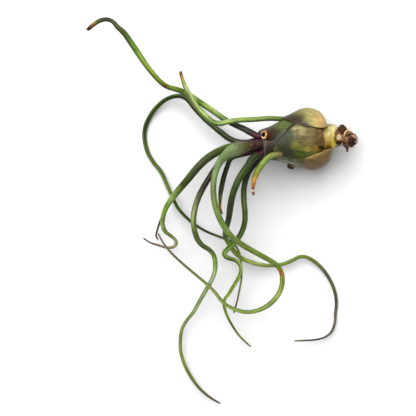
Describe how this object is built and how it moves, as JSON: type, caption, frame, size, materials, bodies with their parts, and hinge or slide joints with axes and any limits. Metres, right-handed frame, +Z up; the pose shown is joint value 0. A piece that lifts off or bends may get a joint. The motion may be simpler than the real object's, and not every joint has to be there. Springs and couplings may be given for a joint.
{
  "type": "air plant",
  "caption": "Bulbous air plant lying on its side: hollow leaf sheaths clasped in a bulb round a stem, and long curled, grooved, tapering blades.",
  "frame": {"origin": "the small flat spot under the bulb that the plant rests on, at the level of the surface", "axes": "+Z up from the surface; the bulb's axis runs nearly along X, with the stem end towards +X and the neck towards -X; the blades trail towards -X and -Y"},
  "size_m": [0.1063, 0.1523, 0.0415],
  "materials": {
    "stem_cream": "satin, waxy",
    "sheath_tan": "satin, leathery",
    "leaf_tan_olive": "satin, leathery",
    "leaf_olive_yellow": "satin, leathery",
    "sheath_grey_green": "matte, leathery",
    "leaf_pale_green": "satin, leathery",
    "leaf_dark_green": "satin, leathery",
    "leaf_bright_green": "satin, leathery",
    "root_brown": "matte, fibrous"
  },
  "bodies": {
    "root": {"stem": "stem_cream", "leaf_low_cut": "sheath_tan", "leaf_top_hook": "leaf_tan_olive", "leaf_short_yellow": "leaf_olive_yellow", "leaf_collar_cut": "sheath_grey_green", "leaf_front_loop": "leaf_pale_green", "leaf_right_loop": "leaf_dark_green", "leaf_far_left": "leaf_bright_green", "leaf_lower_kinked": "leaf_dark_green", "leaf_left_arc": "leaf_bright_green", "leaf_long_lower": "leaf_pale_green", "leaf_left_sweep": "leaf_dark_green", "leaf_short_inner": "leaf_dark_green", "leaf_left_under": "leaf_bright_green", "roots": "root_brown"}
  },
  "joints": []
}
